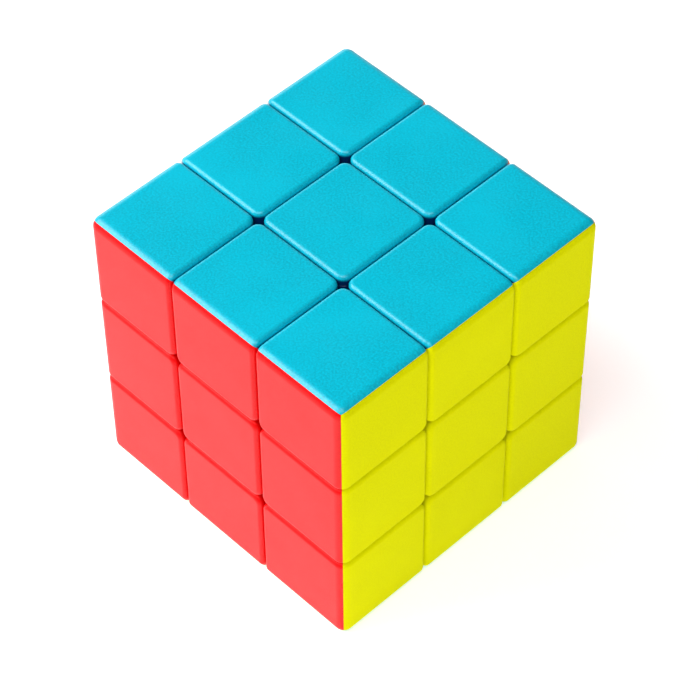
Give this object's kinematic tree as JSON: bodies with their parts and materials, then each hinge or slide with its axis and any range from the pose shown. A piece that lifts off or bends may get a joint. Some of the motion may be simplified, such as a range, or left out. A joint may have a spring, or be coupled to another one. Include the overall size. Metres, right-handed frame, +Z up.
{
  "type": "twisty puzzle cube",
  "caption": "Stickerless twisty puzzle cube of frosted coloured plastic; every face turns about its centre on a sprung screw.",
  "frame": {"origin": "middle of the bottom face, where the cube stands", "axes": "+Z up through the blue top face, -Y out of the red front face, +X out of the yellow right face"},
  "size_m": [0.056, 0.056, 0.056],
  "materials": {
    "blue_plastic": "fine-grained frosted ABS, moulded in colour",
    "red_plastic": "fine-grained frosted ABS, moulded in colour",
    "yellow_plastic": "fine-grained frosted ABS, moulded in colour",
    "green_plastic": "fine-grained frosted ABS, moulded in colour",
    "orange_plastic": "fine-grained frosted ABS, moulded in colour",
    "white_plastic": "fine-grained frosted ABS, moulded in colour",
    "core_plastic": "slippery moulded POM",
    "steel": "zinc-plated steel"
  },
  "bodies": {
    "core": {"core_spider": "core_plastic", "tension_screws": "steel", "tension_springs": "steel", "spring_washers": "steel"},
    "centre_back": {"centre_back_orange": "orange_plastic"},
    "centre_bottom": {"centre_bottom_green": "green_plastic"},
    "centre_front": {"centre_front_red": "red_plastic"},
    "centre_left": {"centre_left_white": "white_plastic"},
    "centre_right": {"centre_right_yellow": "yellow_plastic"},
    "centre_top": {"centre_top_blue": "blue_plastic"},
    "corner_bottom_back_left": {"corner_bottom_back_left_green_shell": "green_plastic", "corner_bottom_back_left_orange_shell": "orange_plastic", "corner_bottom_back_left_white_shell": "white_plastic"},
    "corner_bottom_back_right": {"corner_bottom_back_right_green_shell": "green_plastic", "corner_bottom_back_right_orange_shell": "orange_plastic", "corner_bottom_back_right_yellow_shell": "yellow_plastic"},
    "corner_bottom_front_left": {"corner_bottom_front_left_green_shell": "green_plastic", "corner_bottom_front_left_red_shell": "red_plastic", "corner_bottom_front_left_white_shell": "white_plastic"},
    "corner_bottom_front_right": {"corner_bottom_front_right_green_shell": "green_plastic", "corner_bottom_front_right_red_shell": "red_plastic", "corner_bottom_front_right_yellow_shell": "yellow_plastic"},
    "corner_top_back_left": {"corner_top_back_left_blue_shell": "blue_plastic", "corner_top_back_left_orange_shell": "orange_plastic", "corner_top_back_left_white_shell": "white_plastic"},
    "corner_top_back_right": {"corner_top_back_right_blue_shell": "blue_plastic", "corner_top_back_right_orange_shell": "orange_plastic", "corner_top_back_right_yellow_shell": "yellow_plastic"},
    "corner_top_front_left": {"corner_top_front_left_blue_shell": "blue_plastic", "corner_top_front_left_red_shell": "red_plastic", "corner_top_front_left_white_shell": "white_plastic"},
    "corner_top_front_right": {"corner_top_front_right_blue_shell": "blue_plastic", "corner_top_front_right_red_shell": "red_plastic", "corner_top_front_right_yellow_shell": "yellow_plastic"},
    "edge_back_left": {"edge_back_left_orange_shell": "orange_plastic", "edge_back_left_white_shell": "white_plastic"},
    "edge_bottom_back": {"edge_bottom_back_green_shell": "green_plastic", "edge_bottom_back_orange_shell": "orange_plastic"},
    "edge_bottom_front": {"edge_bottom_front_green_shell": "green_plastic", "edge_bottom_front_red_shell": "red_plastic"},
    "edge_bottom_left": {"edge_bottom_left_green_shell": "green_plastic", "edge_bottom_left_white_shell": "white_plastic"},
    "edge_bottom_right": {"edge_bottom_right_green_shell": "green_plastic", "edge_bottom_right_yellow_shell": "yellow_plastic"},
    "edge_front_right": {"edge_front_right_red_shell": "red_plastic", "edge_front_right_yellow_shell": "yellow_plastic"},
    "edge_left_front": {"edge_left_front_red_shell": "red_plastic", "edge_left_front_white_shell": "white_plastic"},
    "edge_right_back": {"edge_right_back_orange_shell": "orange_plastic", "edge_right_back_yellow_shell": "yellow_plastic"},
    "edge_top_back": {"edge_top_back_blue_shell": "blue_plastic", "edge_top_back_orange_shell": "orange_plastic"},
    "edge_top_front": {"edge_top_front_blue_shell": "blue_plastic", "edge_top_front_red_shell": "red_plastic"},
    "edge_top_left": {"edge_top_left_blue_shell": "blue_plastic", "edge_top_left_white_shell": "white_plastic"},
    "edge_top_right": {"edge_top_right_blue_shell": "blue_plastic", "edge_top_right_yellow_shell": "yellow_plastic"}
  },
  "joints": [
    {"name": "top_face_turn", "type": "hinge", "parent": "core", "child": "centre_top", "pos_m": [0, 0, 0.028], "axis": [0, 0, 1], "continuous": true},
    {"name": "bottom_face_turn", "type": "hinge", "parent": "core", "child": "centre_bottom", "pos_m": [0, 0, 0.028], "axis": [0, 0, -1], "continuous": true},
    {"name": "front_face_turn", "type": "hinge", "parent": "core", "child": "centre_front", "pos_m": [0, 0, 0.028], "axis": [0, -1, 0], "continuous": true},
    {"name": "back_face_turn", "type": "hinge", "parent": "core", "child": "centre_back", "pos_m": [0, 0, 0.028], "axis": [0, 1, 0], "continuous": true},
    {"name": "right_face_turn", "type": "hinge", "parent": "core", "child": "centre_right", "pos_m": [0, 0, 0.028], "axis": [1, 0, 0], "continuous": true},
    {"name": "left_face_turn", "type": "hinge", "parent": "core", "child": "centre_left", "pos_m": [0, 0, 0.028], "axis": [-1, 0, 0], "continuous": true},
    {"name": "edge_top_front_about_front", "type": "hinge", "parent": "centre_top", "child": "edge_top_front", "pos_m": [0, 0, 0.028], "axis": [0, -1, 0], "continuous": true},
    {"name": "edge_top_back_about_back", "type": "hinge", "parent": "centre_top", "child": "edge_top_back", "pos_m": [0, 0, 0.028], "axis": [0, 1, 0], "continuous": true},
    {"name": "edge_top_right_about_right", "type": "hinge", "parent": "centre_top", "child": "edge_top_right", "pos_m": [0, 0, 0.028], "axis": [1, 0, 0], "continuous": true},
    {"name": "edge_top_left_about_left", "type": "hinge", "parent": "centre_top", "child": "edge_top_left", "pos_m": [0, 0, 0.028], "axis": [-1, 0, 0], "continuous": true},
    {"name": "edge_bottom_front_about_bottom", "type": "hinge", "parent": "centre_front", "child": "edge_bottom_front", "pos_m": [0, 0, 0.028], "axis": [0, 0, -1], "continuous": true},
    {"name": "edge_bottom_back_about_bottom", "type": "hinge", "parent": "centre_back", "child": "edge_bottom_back", "pos_m": [0, 0, 0.028], "axis": [0, 0, -1], "continuous": true},
    {"name": "edge_bottom_right_about_bottom", "type": "hinge", "parent": "centre_right", "child": "edge_bottom_right", "pos_m": [0, 0, 0.028], "axis": [0, 0, -1], "continuous": true},
    {"name": "edge_bottom_left_about_bottom", "type": "hinge", "parent": "centre_left", "child": "edge_bottom_left", "pos_m": [0, 0, 0.028], "axis": [0, 0, -1], "continuous": true},
    {"name": "edge_front_right_about_right", "type": "hinge", "parent": "centre_front", "child": "edge_front_right", "pos_m": [0, 0, 0.028], "axis": [1, 0, 0], "continuous": true},
    {"name": "edge_left_front_about_front", "type": "hinge", "parent": "centre_left", "child": "edge_left_front", "pos_m": [0, 0, 0.028], "axis": [0, -1, 0], "continuous": true},
    {"name": "edge_right_back_about_back", "type": "hinge", "parent": "centre_right", "child": "edge_right_back", "pos_m": [0, 0, 0.028], "axis": [0, 1, 0], "continuous": true},
    {"name": "edge_back_left_about_left", "type": "hinge", "parent": "centre_back", "child": "edge_back_left", "pos_m": [0, 0, 0.028], "axis": [-1, 0, 0], "continuous": true},
    {"name": "corner_top_front_right_about_top", "type": "hinge", "parent": "edge_front_right", "child": "corner_top_front_right", "pos_m": [0, 0, 0.028], "axis": [0, 0, 1], "continuous": true},
    {"name": "corner_top_front_left_about_top", "type": "hinge", "parent": "edge_left_front", "child": "corner_top_front_left", "pos_m": [0, 0, 0.028], "axis": [0, 0, 1], "continuous": true},
    {"name": "corner_top_back_right_about_top", "type": "hinge", "parent": "edge_right_back", "child": "corner_top_back_right", "pos_m": [0, 0, 0.028], "axis": [0, 0, 1], "continuous": true},
    {"name": "corner_top_back_left_about_top", "type": "hinge", "parent": "edge_back_left", "child": "corner_top_back_left", "pos_m": [0, 0, 0.028], "axis": [0, 0, 1], "continuous": true},
    {"name": "corner_bottom_front_right_about_bottom", "type": "hinge", "parent": "edge_front_right", "child": "corner_bottom_front_right", "pos_m": [0, 0, 0.028], "axis": [0, 0, -1], "continuous": true},
    {"name": "corner_bottom_front_left_about_bottom", "type": "hinge", "parent": "edge_left_front", "child": "corner_bottom_front_left", "pos_m": [0, 0, 0.028], "axis": [0, 0, -1], "continuous": true},
    {"name": "corner_bottom_back_right_about_bottom", "type": "hinge", "parent": "edge_right_back", "child": "corner_bottom_back_right", "pos_m": [0, 0, 0.028], "axis": [0, 0, -1], "continuous": true},
    {"name": "corner_bottom_back_left_about_bottom", "type": "hinge", "parent": "edge_back_left", "child": "corner_bottom_back_left", "pos_m": [0, 0, 0.028], "axis": [0, 0, -1], "continuous": true}
  ],
  "couplings": [
    {"joint": "edge_top_front_about_front", "follows": "front_face_turn", "ratio": 1},
    {"joint": "edge_top_back_about_back", "follows": "back_face_turn", "ratio": 1},
    {"joint": "edge_top_right_about_right", "follows": "right_face_turn", "ratio": 1},
    {"joint": "edge_top_left_about_left", "follows": "left_face_turn", "ratio": 1},
    {"joint": "edge_bottom_front_about_bottom", "follows": "bottom_face_turn", "ratio": 1},
    {"joint": "edge_bottom_back_about_bottom", "follows": "bottom_face_turn", "ratio": 1},
    {"joint": "edge_bottom_right_about_bottom", "follows": "bottom_face_turn", "ratio": 1},
    {"joint": "edge_bottom_left_about_bottom", "follows": "bottom_face_turn", "ratio": 1},
    {"joint": "edge_front_right_about_right", "follows": "right_face_turn", "ratio": 1},
    {"joint": "edge_left_front_about_front", "follows": "front_face_turn", "ratio": 1},
    {"joint": "edge_right_back_about_back", "follows": "back_face_turn", "ratio": 1},
    {"joint": "edge_back_left_about_left", "follows": "left_face_turn", "ratio": 1},
    {"joint": "corner_top_front_right_about_top", "follows": "top_face_turn", "ratio": 1},
    {"joint": "corner_top_front_left_about_top", "follows": "top_face_turn", "ratio": 1},
    {"joint": "corner_top_back_right_about_top", "follows": "top_face_turn", "ratio": 1},
    {"joint": "corner_top_back_left_about_top", "follows": "top_face_turn", "ratio": 1},
    {"joint": "corner_bottom_front_right_about_bottom", "follows": "bottom_face_turn", "ratio": 1},
    {"joint": "corner_bottom_front_left_about_bottom", "follows": "bottom_face_turn", "ratio": 1},
    {"joint": "corner_bottom_back_right_about_bottom", "follows": "bottom_face_turn", "ratio": 1},
    {"joint": "corner_bottom_back_left_about_bottom", "follows": "bottom_face_turn", "ratio": 1}
  ]
}
